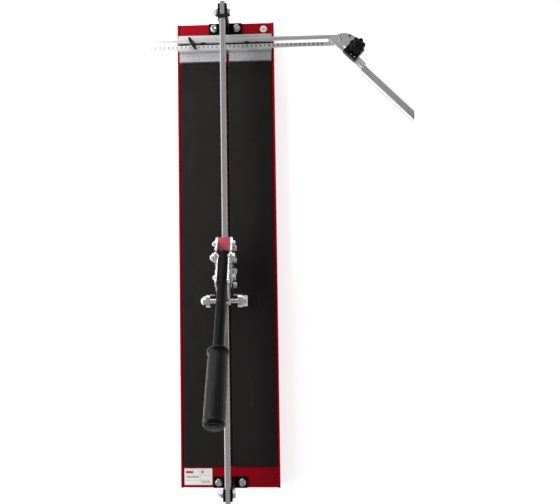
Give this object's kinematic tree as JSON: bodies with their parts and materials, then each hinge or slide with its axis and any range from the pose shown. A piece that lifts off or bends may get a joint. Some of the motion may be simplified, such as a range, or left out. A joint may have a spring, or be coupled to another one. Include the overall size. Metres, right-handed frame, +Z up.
{
  "type": "tile cutter",
  "caption": "Manual rail tile cutter: red steel base with black rubber mats, chromed rail, lever carriage with scoring wheel and breaker, sliding scale bar with an angle arm.",
  "frame": {"origin": "on the table plane, under the middle of the base, in the middle of the middle foot's underside", "axes": "+X to the right of a user at the near end, +Y along the rail towards the tile stop, +Z up"},
  "size_m": [0.6125, 1.075, 0.4463],
  "materials": {
    "red_paint": "glossy powder coat",
    "rubber": "matt, fine grain",
    "black_paint": "satin powder coat",
    "chrome": "polished",
    "zinc_plate": "bright zinc plate",
    "dark_steel": "blackened",
    "bearing_steel": "ground",
    "aluminium": "satin anodised extrusion",
    "bright_aluminium": "bright satin",
    "black_plastic": "moulded, fine grain",
    "red_plastic": "sawn nylon block",
    "grip_rubber": "soft, semi-gloss",
    "label": "printed film",
    "carbide": "ground"
  },
  "bodies": {
    "base": {"tray": "red_paint", "spine": "dark_steel", "mat_left": "rubber", "mat_right": "rubber", "breaking_rib": "red_paint", "corner_feet": "rubber", "middle_foot": "rubber", "near_post": "black_paint", "far_post": "black_paint", "post_screws": "zinc_plate", "rail": "chrome", "rail_bolts": "zinc_plate", "rail_nuts": "zinc_plate", "rail_bumper": "rubber", "stop_left": "aluminium", "stop_right": "aluminium", "guide_channel": "aluminium", "guide_shoes": "black_plastic", "limit_pin": "black_plastic", "clamp_stud": "zinc_plate", "label_plate": "label", "round_badge": "label"},
    "bar": {"scale_bar": "aluminium", "protractor_plate": "aluminium", "plate_rivets": "zinc_plate", "knob_stud": "zinc_plate", "clamp_block": "black_plastic"},
    "clamp": {"clamp_wing": "black_plastic", "clamp_washer": "zinc_plate"},
    "arm": {"arm_bracket": "bright_aluminium", "angle_arm": "aluminium", "arm_rivets": "zinc_plate"},
    "knob": {"star_knob": "black_plastic"},
    "carriage": {"side_plate_left": "zinc_plate", "side_plate_right": "zinc_plate", "slide_block": "red_plastic", "carriage_bolts": "zinc_plate", "carriage_nuts": "zinc_plate", "pivot_bolt": "zinc_plate", "pivot_nut": "zinc_plate", "wheel_block": "dark_steel", "stem_screw": "zinc_plate"},
    "front_roller": {"front_roller": "bearing_steel"},
    "rear_roller": {"rear_roller": "bearing_steel"},
    "top_roller": {"top_roller": "bearing_steel"},
    "lever": {"lever_tube": "black_paint", "cheek_left": "zinc_plate", "cheek_right": "zinc_plate", "cheek_rivets": "zinc_plate", "grip": "grip_rubber"},
    "breaker": {"breaker_rod": "zinc_plate", "breaker_arm_left": "zinc_plate", "breaker_arm_right": "zinc_plate", "breaker_pads": "rubber", "rod_cap_nut": "zinc_plate", "rod_knurled_nut": "zinc_plate"},
    "wheel_holder": {"wheel_fork": "zinc_plate", "fork_pin": "zinc_plate"},
    "wheel": {"scoring_wheel": "carbide"}
  },
  "joints": [
    {"name": "carriage_slide", "type": "slide", "parent": "base", "child": "carriage", "axis": [0, 1, 0], "range_m": [-0.4, 0.475]},
    {"name": "front_roller_spin", "type": "hinge", "parent": "carriage", "child": "front_roller", "pos_m": [0, 0.003, 0.0937], "axis": [1, 0, 0], "continuous": true},
    {"name": "rear_roller_spin", "type": "hinge", "parent": "carriage", "child": "rear_roller", "pos_m": [0, -0.078, 0.0937], "axis": [1, 0, 0], "continuous": true},
    {"name": "top_roller_spin", "type": "hinge", "parent": "carriage", "child": "top_roller", "pos_m": [0, -0.0625, 0.1423], "axis": [1, 0, 0], "continuous": true},
    {"name": "lever_pivot", "type": "hinge", "parent": "carriage", "child": "lever", "pos_m": [0, -0.023, 0.18], "axis": [1, 0, 0], "range_deg": [-25, 16]},
    {"name": "breaker_swing", "type": "hinge", "parent": "lever", "child": "breaker", "pos_m": [0, -0.112, 0.169], "axis": [1, 0, 0], "range_deg": [-25, 25]},
    {"name": "wheel_height", "type": "slide", "parent": "carriage", "child": "wheel_holder", "axis": [0, 0, 1], "range_m": [-0.008, 0]},
    {"name": "wheel_spin", "type": "hinge", "parent": "wheel_holder", "child": "wheel", "pos_m": [0, -0.035, 0.059], "axis": [1, 0, 0], "continuous": true},
    {"name": "bar_slide", "type": "slide", "parent": "base", "child": "bar", "axis": [1, 0, 0], "range_m": [-0.15, 0.09]},
    {"name": "clamp_turn", "type": "hinge", "parent": "base", "child": "clamp", "pos_m": [-0.074, 0.476, 0.061], "axis": [0, 0, 1], "range_deg": [-30, 60]},
    {"name": "arm_swing", "type": "hinge", "parent": "bar", "child": "arm", "pos_m": [0.296, 0.4515, 0.058], "axis": [0, 0, 1], "range_deg": [-45, 45]},
    {"name": "knob_turn", "type": "hinge", "parent": "bar", "child": "knob", "pos_m": [0.296, 0.4515, 0.085], "axis": [0, 0, 1], "range_deg": [0, 360]}
  ],
  "couplings": [
    {"joint": "front_roller_spin", "follows": "carriage_slide", "rad_per_m": 100},
    {"joint": "rear_roller_spin", "follows": "carriage_slide", "rad_per_m": 100},
    {"joint": "top_roller_spin", "follows": "carriage_slide", "rad_per_m": -125}
  ]
}
